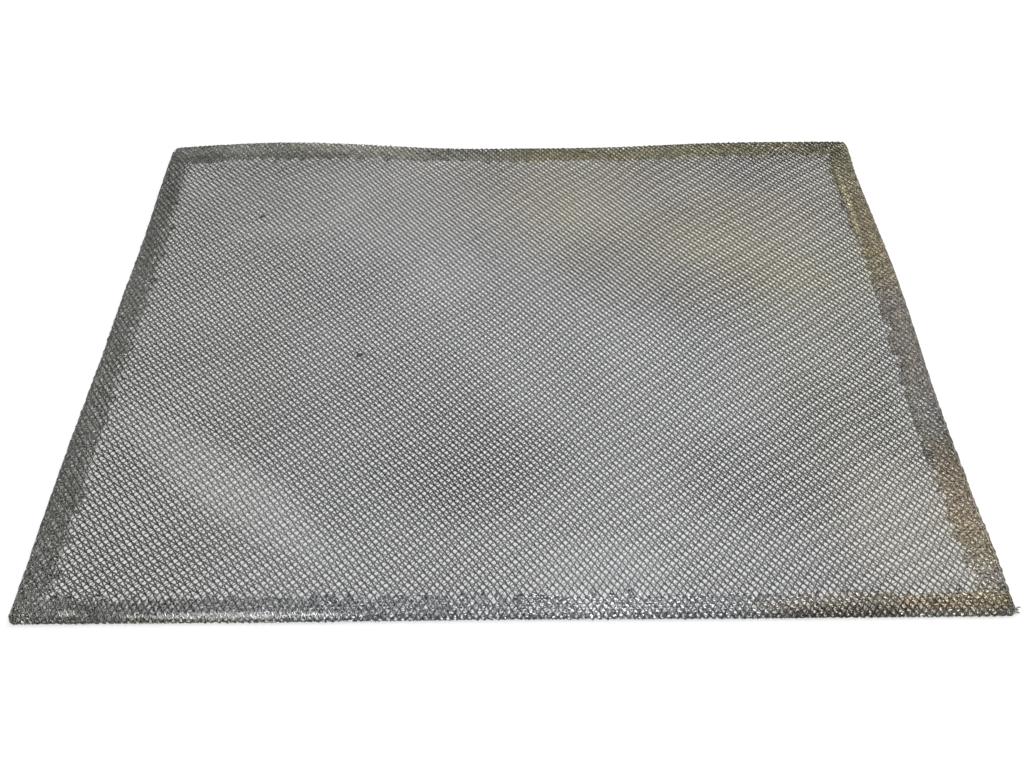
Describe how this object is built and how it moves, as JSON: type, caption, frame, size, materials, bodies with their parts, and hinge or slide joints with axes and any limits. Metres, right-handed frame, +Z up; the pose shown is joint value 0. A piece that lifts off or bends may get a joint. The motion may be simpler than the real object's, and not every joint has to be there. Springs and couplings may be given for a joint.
{
  "type": "cooker hood grease filter",
  "caption": "Thin flat rectangular grease filter of expanded aluminium mesh: a face sheet whose folded hem holds a backing sheet of crosswise mesh, slightly buckled and stained.",
  "frame": {"origin": "middle of the panel, on the surface that the filter lies on", "axes": "+X along the length, +Y from the straight front edge to the buckled back edge, +Z up, away from the hem's flaps"},
  "size_m": [0.48, 0.34, 0.0106],
  "materials": {
    "face_mesh": "dull oxidised expanded mesh with greasy yellow-brown stains along the hem",
    "backing_mesh": "dull oxidised expanded mesh"
  },
  "bodies": {
    "root": {"face_sheet": "face_mesh", "backing_sheet": "backing_mesh"}
  },
  "joints": []
}
